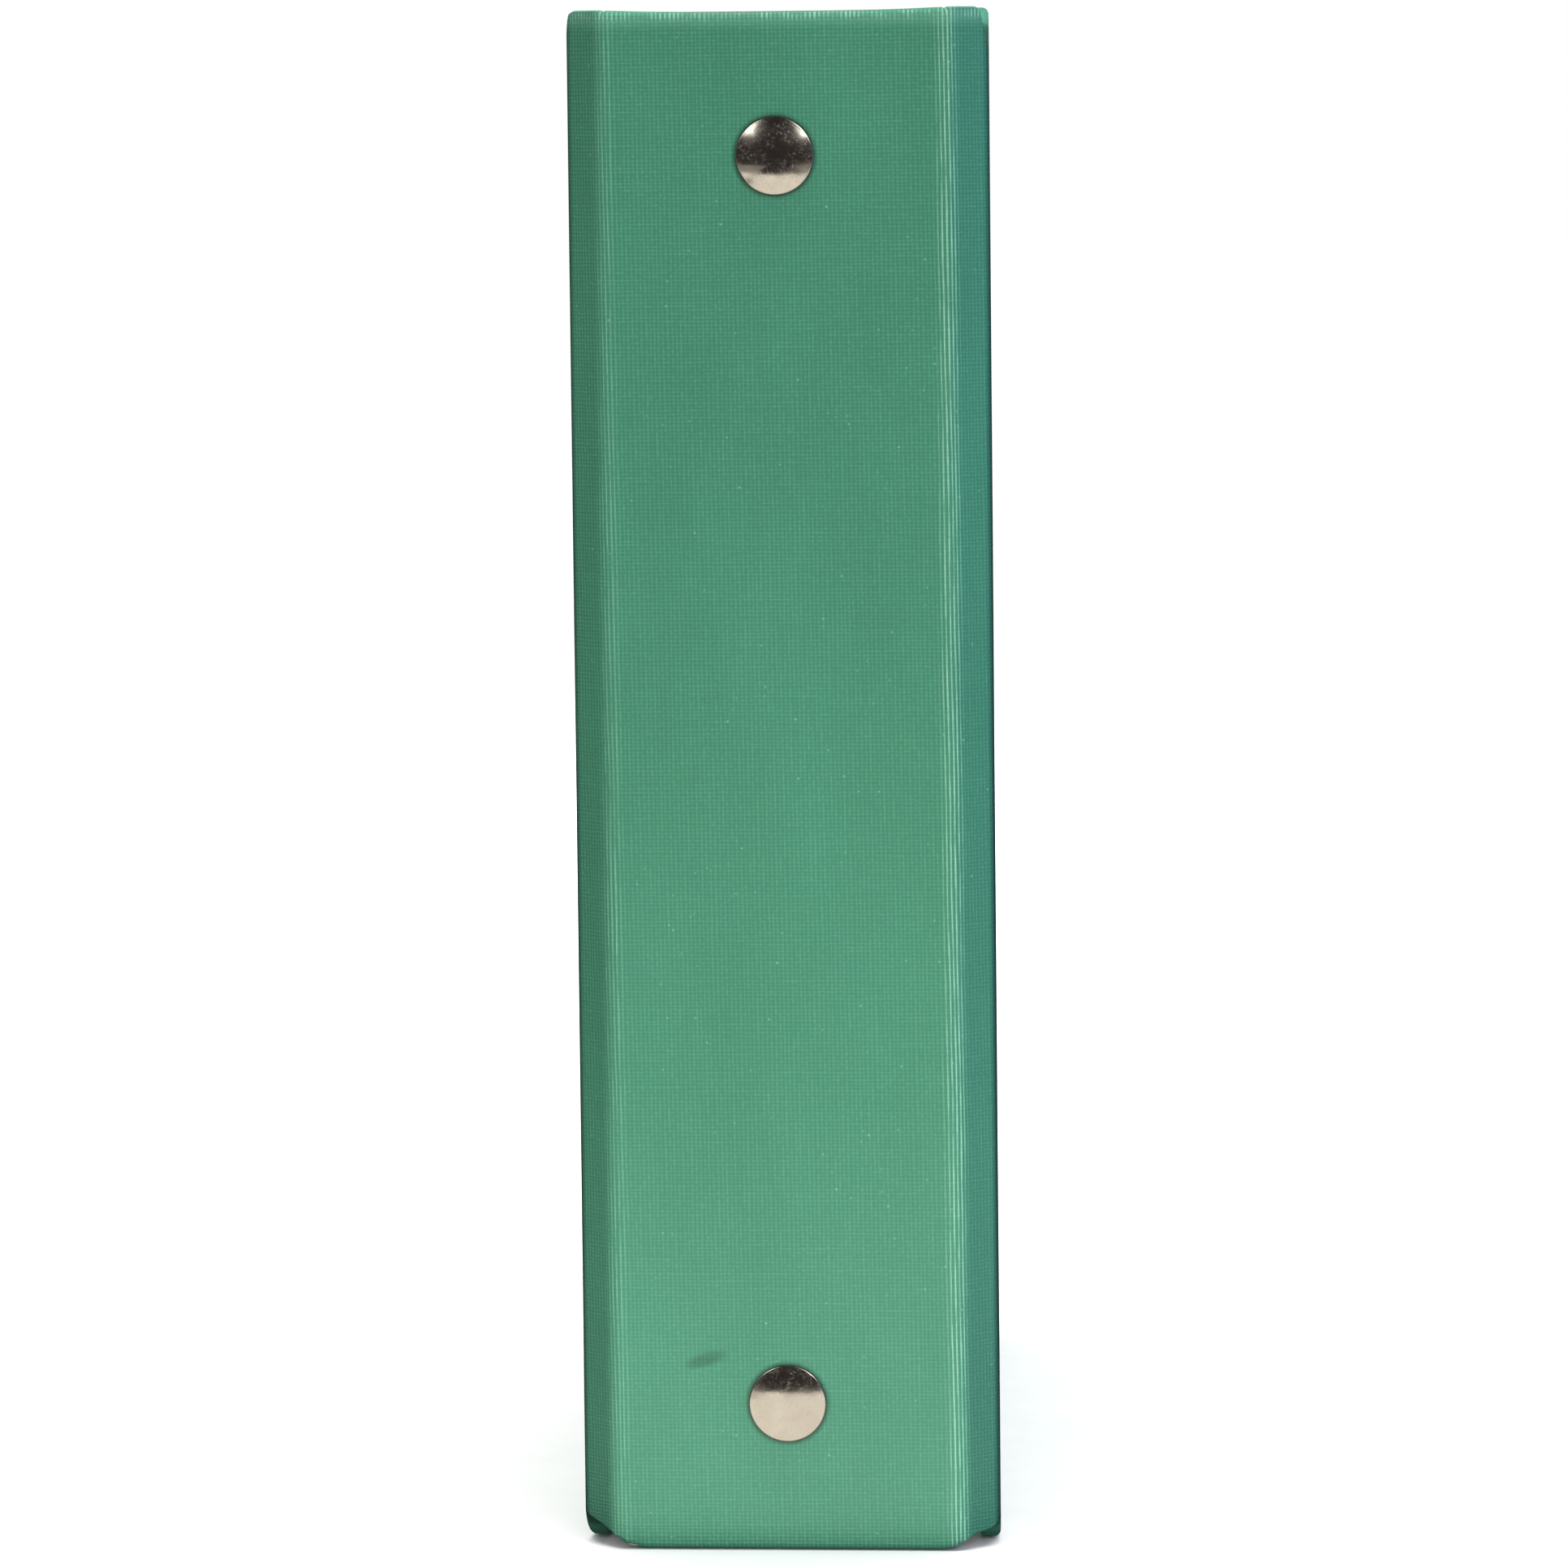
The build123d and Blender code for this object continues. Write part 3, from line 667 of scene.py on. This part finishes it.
for side, who in ((1, "front"), (-1, "back")):
    def norm_at(s):
        (x, y), (nx, ny) = sec(s)
        return ((side * x, y + Y0, H / 2), (-side * nx, -ny, 0))

    fold = skin(who + "_fold_skin", spread(S1, S2, 0.07), side, rows=80, relief=True)
    outward(fold, norm_at(FOLD_S))
    strip = skin(who + "_hinge_skin", spread(S2, S3, 0.5), side, rows=64)
    outward(strip, norm_at((S2 + S3) / 2))
    crease = skin(who + "_crease_skin", spread(S3, S4, 0.09), side, rows=64, relief=True)
    outward(crease, norm_at(CREASE_S))

    # cover: outline rings round a rounded board, cloth wrapped over three sides
    def cover_outline(inset):
        """Corner radius and the limits in s and z, shrunk by inset on the three wrapped sides."""
        pts = []
        r = max(6.5 - inset, 0.4)
        zlo, zhi, smax = inset, H - inset, END - inset
        return r, zlo, zhi, smax

    def cover_skin():
        bm_verts, bm_uv, faces = [], [], []
        rings = []
        T = 3.2
        ro, ri = 1.0, 0.45
        # profile across the wrapped edge: (inset, v, path length out from the outer face)
        prof = []
        for ins in (60, 30, 12, 6.0, 3.0, 1.8):
            prof.append((ins, 0.0, -ins))
        for k in range(7):
            a = math.radians(90 * k / 6)
            prof.append((ro - ro * math.sin(a), ro - ro * math.cos(a), -ro + ro * a))
        for k in range(5):
            a = math.radians(90 * k / 4)
            prof.append((ri - ri * math.cos(a), T - ri + ri * math.sin(a), (math.pi / 2 - 1) * ro + (T - ro - ri) + ri * a))
        wrap = prof[-1][2] - ri
        for ins in (1.5, 4.0, 8.0, 15.0):
            prof.append((ins, T, wrap + ins))

        def outline(ins):
            """Points from lower crease end round the fore-edge to the upper crease end."""
            r = 6.5 - ins if ins < 5.5 else 1.0
            smax, zl, zh = END - max(ins, 0), max(ins, 0), H - max(ins, 0)
            pts = []
            ns = 70
            s_in = S4
            for k in range(ns + 1):                      # lower edge, fanned at the crease corner
                u = (k / ns) ** 1.6
                s = s_in + (smax - r - s_in) * u
                pts.append((s, zl + z_low(s, side) * (1.0 if ins < 40 else 0.0), (0, -1)))
            for k in range(1, 9):
                a = math.radians(90 * k / 9)
                pts.append((smax - r + r * math.sin(a), zl + r - r * math.cos(a), (math.sin(a), -math.cos(a))))
            nz = 60
            for k in range(nz + 1):
                z = zl + r + (zh - zl - 2 * r) * k / nz
                pts.append((smax, z, (1, 0)))
            for k in range(1, 9):
                a = math.radians(90 * k / 9)
                pts.append((smax - r + r * math.cos(a), zh - r + r * math.sin(a), (math.cos(a), math.sin(a))))
            for k in range(ns + 1):
                u = ((ns - k) / ns) ** 1.6
                s = s_in + (smax - r - s_in) * u
                pts.append((s, zh - (H - z_high(s, side)) * (1.0 if ins < 40 else 0.0), (0, 1)))
            return pts

        for ins, v, w in prof:
            pts = outline(ins)
            ring = []
            for s, z, (nu, nz) in pts:
                # the fold of the corner stands a little proud on the inside
                bulge = 0.0
                if v >= T - 0.01 and ins > 1.0:
                    dc = min(abs((END - s) - z), abs((END - s) - (H - z)))
                    if (END - s) < 14 and (z < 14 or z > H - 14):
                        bulge = 0.16 * math.exp(-(dc / 0.5) ** 2)
                x, y = at(s, v + bulge, side)
                ring.append(len(bm_verts))
                bm_verts.append((x, y, z))
                over = w + ins if ins >= 0 else w
                flat_s, flat_z = s + nu * (w + ins), z + nz * (w + ins)
                bm_uv.append((side * flat_s, flat_z))
            rings.append(ring)
        for a, b in zip(rings, rings[1:]):
            for j in range(len(a) - 1):
                faces.append((a[j], a[j + 1], b[j + 1], b[j]))
        # middle of the outer face, between the lower and upper run of the first ring
        inner = rings[0]
        npt = len(inner)
        lo_run = inner[:71]
        hi_run = inner[-71:][::-1]
        mid = inner[71 - 1: npt - 70]
        nz = len(mid)
        grid = [mid]
        cols = 70
        first = [lo_run, hi_run]
        prev = None
        for c in range(len(lo_run)):
            a, b = bm_verts[lo_run[c]], bm_verts[hi_run[c]]
            ua, ub = bm_uv[lo_run[c]], bm_uv[hi_run[c]]
            column = [lo_run[c]]
            for k in range(1, nz - 1):
                t = (bm_verts[mid[k]][2] - bm_verts[mid[0]][2]) / (bm_verts[mid[-1]][2] - bm_verts[mid[0]][2])
                if c == len(lo_run) - 1:
                    column.append(mid[k])
                    continue
                column.append(len(bm_verts))
                bm_verts.append(tuple(p + (q - p) * t for p, q in zip(a, b)))
                bm_uv.append((ua[0] + (ub[0] - ua[0]) * t, ua[1] + (ub[1] - ua[1]) * t))
            column.append(hi_run[c])
            if prev:
                for k in range(len(column) - 1):
                    q = (prev[k], column[k], column[k + 1], prev[k + 1])
                    if len(set(q)) >= 3:
                        faces.append(tuple(dict.fromkeys(q)))
            prev = column
        ob = mesh_object(who + "_cover_skin", bm_verts, faces, bm_uv)
        bm = bmesh.new()
        bm.from_mesh(ob.data)
        bmesh.ops.recalc_face_normals(bm, faces=bm.faces)
        bm.to_mesh(ob.data)
        bm.free()
        give(ob, FILM)
        return ob

    cover = cover_skin()
    outward(cover, norm_at(D + 80))
    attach(strip, who + "_hinge")
    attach(cover, who + "_cover")

    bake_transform(fold)
    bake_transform(crease)
    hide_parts(who + "_hinge_film")
    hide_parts(who + "_cover_film")

    # lining paper carried over the two bends, a soft channel between the papers on each side
    def lining_bridge(name, ends, a, b, zr):
        p, q = Vector(ends[0]), Vector(ends[3])
        c1, c2 = Vector(ends[1]), Vector(ends[2])
        verts, faces, uvs = [], [], []
        across, up = 18, 60
        for layer, off in ((0, 0.0), (1, -0.28)):
            for i in range(across + 1):
                t = i / across
                pt = p * (1 - t) ** 3 + c1 * 3 * t * (1 - t) ** 2 + c2 * 3 * t * t * (1 - t) + q * t ** 3
                dv = (-3 * p * (1 - t) ** 2 + c1 * (3 * (1 - t) ** 2 - 6 * t * (1 - t)) + c2 * (6 * t * (1 - t) - 3 * t * t) + q * 3 * t * t)
                nrm = Vector((-dv.y, dv.x)).normalized() * side
                for j in range(up + 1):
                    z = zr[0] + (zr[1] - zr[0]) * j / up
                    wav = 0.05 * noise.noise(Vector((t * 2.0, z * 0.06, side * 5.0)))
                    verts.append((pt.x + nrm.x * (off + wav), pt.y + nrm.y * (off + wav), z))
        m = (across + 1) * (up + 1)
        for layer in (0, 1):
            for i in range(across):
                for j in range(up):
                    k = layer * m + i * (up + 1) + j
                    f = (k, k + up + 1, k + up + 2, k + 1)
                    faces.append(f if layer == 0 else f[::-1])
        for i in range(across):
            for j in (0, up):
                k = i * (up + 1) + j
                faces.append((k, k + m, k + m + up + 1, k + up + 1))
        for j in range(up):
            for i in (0, across):
                k = i * (up + 1) + j
                faces.append((k, k + 1, k + 1 + m, k + m))
        ob = mesh_object(name, verts, faces)
        bm = bmesh.new()
        bm.from_mesh(ob.data)
        bmesh.ops.recalc_face_normals(bm, faces=bm.faces)
        bm.to_mesh(ob.data)
        bm.free()
        give(ob, LINING)
        return ob

    h, c = math.radians(HD), math.radians(CD)
    Fp = Vector((FX, 0.0))
    Cp = Fp + Vector((math.cos(h), math.sin(h))) * HW

    def hin(t, v):
        q = Fp + Vector((math.cos(h), math.sin(h))) * t + Vector((-math.sin(h), math.cos(h))) * v
        return Vector((side * q.x, q.y + Y0))

    def cov(u, v):
        q = Cp + Vector((math.cos(c), math.sin(c))) * u + Vector((-math.sin(c), math.cos(c))) * v
        return Vector((side * q.x, q.y + Y0))

    sp = lambda x, v: Vector((side * x, v + Y0))
    br = lining_bridge(who + "_fold_lining",
                       [sp(25.9, 3.50), sp(27.3, 3.42), hin(0.75, 1.25), hin(2.4, 1.12)], "spine", who + "_hinge", (7.5, H - 7.5))
    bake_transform(br)
    br = lining_bridge(who + "_crease_lining",
                       [hin(HW - 2.4, 1.12), hin(HW - 1.0, 1.2), cov(1.0, 3.42), cov(2.6, 3.50)], who + "_hinge", who + "_cover", (8.0, H - 8.0))
    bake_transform(br)


# ------------------------------------------------------------------- rivets
def lathe(name, profile, centre, seg=128, dent=0.0, seed=0.0):
    """Profile (r, y) turned about the rivet's axis; UV is (radius, angle)."""
    verts, uvs, faces = [], [], []
    k = len(profile)
    for i in range(seg):
        a = 2 * math.pi * i / seg
        for r, y in profile:
            d = dent * noise.noise(Vector((r * math.cos(a) * 0.35, r * math.sin(a) * 0.35, seed))) * max(0.0, 1 - (r / 6.2) ** 4)
            verts.append((centre[0] + r * math.cos(a), centre[1] + y + d, centre[2] + r * math.sin(a)))
            uvs.append((r, a))
    for i in range(seg):
        for j in range(k - 1):
            a, b = i * k + j, ((i + 1) % seg) * k + j
            faces.append((a, b, b + 1, a + 1))
    ob = mesh_object(name, verts, faces, uvs)
    bm = bmesh.new()
    bm.from_mesh(ob.data)
    bmesh.ops.remove_doubles(bm, verts=bm.verts, dist=1e-8)
    bmesh.ops.recalc_face_normals(bm, faces=bm.faces)
    bm.to_mesh(ob.data)
    bm.free()
    return ob


R, HT = 6.3, 1.5
e, sag = R - 0.28, 1.02
big = (e * e + sag * sag) / (2 * sag)
prof = [(0.001, -HT)]
for k in range(1, 33):
    r = e * k / 32
    prof.append((r, -HT + big - math.sqrt(big * big - r * r)))
ry, rr = prof[-1][1], 0.36                       # rolled rim
for k in range(1, 13):
    a = math.radians(-70 + 160 * k / 12)
    prof.append((e + 0.06 + rr * math.cos(a) * 1.0 - rr * math.cos(math.radians(-70)), ry + rr * (math.sin(a) - math.sin(math.radians(-70)))))
prof = [(min(r, R), min(y, 0.02)) for r, y in prof]
prof += [(R - 0.25, 0.03), (2.6, 0.03), (2.5, 0.12), (2.5, 9.55), (2.38, 9.7), (1.75, 9.7), (1.7, 9.6), (1.7, 0.95), (0.001, 0.9)]
for name in ("bottom", "top"):
    lo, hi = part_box("rivet_cap_" + name)
    cz = (lo.z + hi.z) / 2 / MM
    ob = lathe("rivet_dome_" + name, prof, (0.0, Y0, cz), dent=0.035, seed=2.7 if name == "top" else 8.1)
    give(ob, RIVET)
    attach(ob, "spine")
    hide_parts("rivet_cap_" + name)
    # cloth drawn in a little under the rim: a thin raised welt of film round the cap
    welt = []
    for k in range(13):
        a = math.radians(180 * k / 12)
        welt.append((R + 0.20 - 0.30 * math.cos(a), 0.03 - 0.10 * math.sin(a)))
    w = lathe("rivet_welt_" + name, welt, (0.0, Y0, cz), seg=128)
    for lp, p in zip(w.data.uv_layers["Cloth"].data, w.data.loops):
        co = w.data.vertices[p.vertex_index].co / MM
        lp.uv = (co.x, co.z)
    give(w, FILM)
    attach(w, "spine")

for name in ("front_ring_halves", "back_ring_halves", "ring_base_plate", "lever_top", "lever_bottom", "front_ring_blade",
             "back_ring_blade", "rivet_post_top", "rivet_post_bottom", "lever_pins"):
    ob = nodes[name]
    ob.data.polygons.foreach_set("use_smooth", [True] * len(ob.data.polygons))
    m = ob.modifiers.new("round_light", "BEVEL")
    m.width, m.segments, m.limit_method, m.angle_limit = 0.00012, 2, "ANGLE", math.radians(35)
    m.harden_normals = True

# ------------------------------------------------- floor, camera and lights
floor_mat = Nodes("pale_floor")
fn = floor_mat.noise(floor_mat.obj(), 60.0, 3.0, 0.5)
floor_mat.set(color=floor_mat.mix(floor_mat.range(fn, 0.3, 0.7), (0.83, 0.83, 0.82, 1), (0.86, 0.86, 0.85, 1)), rough=0.85, spec=0.2)


def plane(name, x0, x1, y0, y1, z, mat):
    me = bpy.data.meshes.new(name)
    me.from_pydata([(x0, y0, z), (x1, y0, z), (x1, y1, z), (x0, y1, z)], [], [(0, 1, 2, 3)])
    ob = bpy.data.objects.new(name, me)
    col.objects.link(ob)
    me.materials.append(mat)
    ob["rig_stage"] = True
    return ob


floor = plane("floor", -8, 8, -8, 8, -0.0002, floor_mat.mat)
floor.visible_glossy = False
floor.visible_diffuse = False
floor.visible_shadow = False

world = bpy.data.worlds.new("studio")
scene.world = world
world.use_nodes = True
wt = world.node_tree
wt.nodes.clear()
wo = wt.nodes.new("ShaderNodeOutputWorld")
bg = wt.nodes.new("ShaderNodeBackground")
bg.inputs[0].default_value = (0.9, 0.95, 1.0, 1)
bg.inputs[1].default_value = 0.16
bg2 = wt.nodes.new("ShaderNodeBackground")
bg2.inputs[0].default_value = (0.028, 0.024, 0.024, 1)
bg2.inputs[1].default_value = 1.0
bg3 = wt.nodes.new("ShaderNodeBackground")
bg3.inputs[0].default_value = (1, 1, 1, 1)
bg3.inputs[1].default_value = 1.0
lp = wt.nodes.new("ShaderNodeLightPath")
m1 = wt.nodes.new("ShaderNodeMixShader")
m2 = wt.nodes.new("ShaderNodeMixShader")
wt.links.new(lp.outputs["Is Glossy Ray"], m1.inputs[0])
wt.links.new(bg.outputs[0], m1.inputs[1])
wt.links.new(bg2.outputs[0], m1.inputs[2])
wt.links.new(lp.outputs["Is Camera Ray"], m2.inputs[0])
wt.links.new(m1.outputs[0], m2.inputs[1])
wt.links.new(bg3.outputs[0], m2.inputs[2])
wt.links.new(m2.outputs[0], wo.inputs[0])


def area(name, loc, target, size, power, color=(1, 1, 1), glossy=True, up=None):
    li = bpy.data.lights.new(name, "AREA")
    li.shape, li.size, li.size_y, li.energy, li.color = "RECTANGLE", size[0], size[1], power, color
    ob = bpy.data.objects.new(name, li)
    col.objects.link(ob)
    ob.location = loc
    ob.rotation_euler = (Vector(target) - Vector(loc)).to_track_quat("-Z", "Y").to_euler()
    ob.visible_glossy = glossy
    ob.visible_camera = False
    return ob


def around(az, dist, z):
    """A place dist from the spine's middle, az degrees round from straight in front."""
    a = math.radians(az)
    return (dist * math.sin(a), Y0 * MM - dist * math.cos(a), z)


ys = Y0 * MM
mid = (0, ys, 0.125)
WARM = (1.0, 0.965, 0.875)
area("key_right", around(38, 1.2, 0.95), mid, (0.62, 0.62), 4.6, (1.0, 0.99, 0.97))
area("key_left", around(-40, 1.2, 0.95), mid, (0.55, 0.55), 2.2, (1.0, 0.99, 0.97))
area("front_fill", around(12, 1.5, 0.45), mid, (0.7, 0.7), 7.5, (1, 1, 1), glossy=False)
area("low_fill", (0.06, ys - 0.20, 0.012), (0.0, ys, 0.02), (0.30, 0.02), 0.16, (1.0, 0.99, 0.97), glossy=False)
area("cool_side", around(90, 1.2, 0.25), mid, (1.0, 1.2), 3.2, (0.13, 0.32, 1.0))
area("dim_side", around(-90, 1.2, 0.25), mid, (1.0, 1.2), 0.95, (1.0, 0.80, 0.80))
# pale table in front of the album, which ends in a low lip: it lights the lower half and shows in the rivets
reach, lip = 0.453, 0.051
area("table_glow", (0.12, ys - 0.004 - reach / 2, 0.0008), (0.12, ys - 0.004 - reach / 2, 1), (0.72, reach), 0.86 * math.pi * 0.72 * reach, WARM)
area("table_lip", (0.0, ys - 0.004 - reach, lip / 2), (0.0, ys, lip / 2), (1.3, lip), 0.86 * math.pi * 1.3 * lip, WARM)
for sg in (1, -1):
    wing = area("table_wing_%d" % sg, (sg * 0.80, ys - 0.85, 0.0008), (sg * 0.80, ys - 0.85, 1), (1.0, 0.8), 0.22 * math.pi * 0.8, WARM)
    wing.visible_diffuse = False
    area("rear_%d" % sg, around(sg * 150, 1.6, 0.7), (0, 0, 0.12), (0.8, 0.8), 16.0, (1, 1, 1), glossy=False)
sun_data = bpy.data.lights.new("overhead", "SUN")
sun_data.energy, sun_data.angle = 3.75, math.radians(50)
sun = bpy.data.objects.new("overhead", sun_data)
col.objects.link(sun)
sun.visible_glossy = False

cam_data = bpy.data.cameras.new("camera")
cam = bpy.data.objects.new("camera", cam_data)
col.objects.link(cam)
scene.camera = cam
YAW, PITCH, ROLL, DIST, LENS, TX, TZ = 5.0, 5.2, -0.611, 1.25, 177.53, 0.00046, 0.12535
a, el, ro = math.radians(YAW), math.radians(PITCH), math.radians(ROLL)
back = Vector((math.sin(a) * math.cos(el), -math.cos(a) * math.cos(el), math.sin(el)))
right = Vector((math.cos(a), math.sin(a), 0))
up = back.cross(right)
r2 = right * math.cos(ro) + up * math.sin(ro)
u2 = up * math.cos(ro) - right * math.sin(ro)
place = Matrix((r2, u2, back)).transposed().to_4x4()
place.translation = Vector((TX, Y0 * MM, TZ)) + back * DIST
cam.matrix_world = place
cam_data.lens = LENS
cam_data.sensor_width = 36.0
cam_data.clip_start, cam_data.clip_end = 0.05, 50.0
scene.view_settings.view_transform = "Standard"
scene.view_settings.look = "None"
scene.view_settings.exposure = 0.0
scene.view_settings.gamma = 1.0

lo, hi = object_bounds()
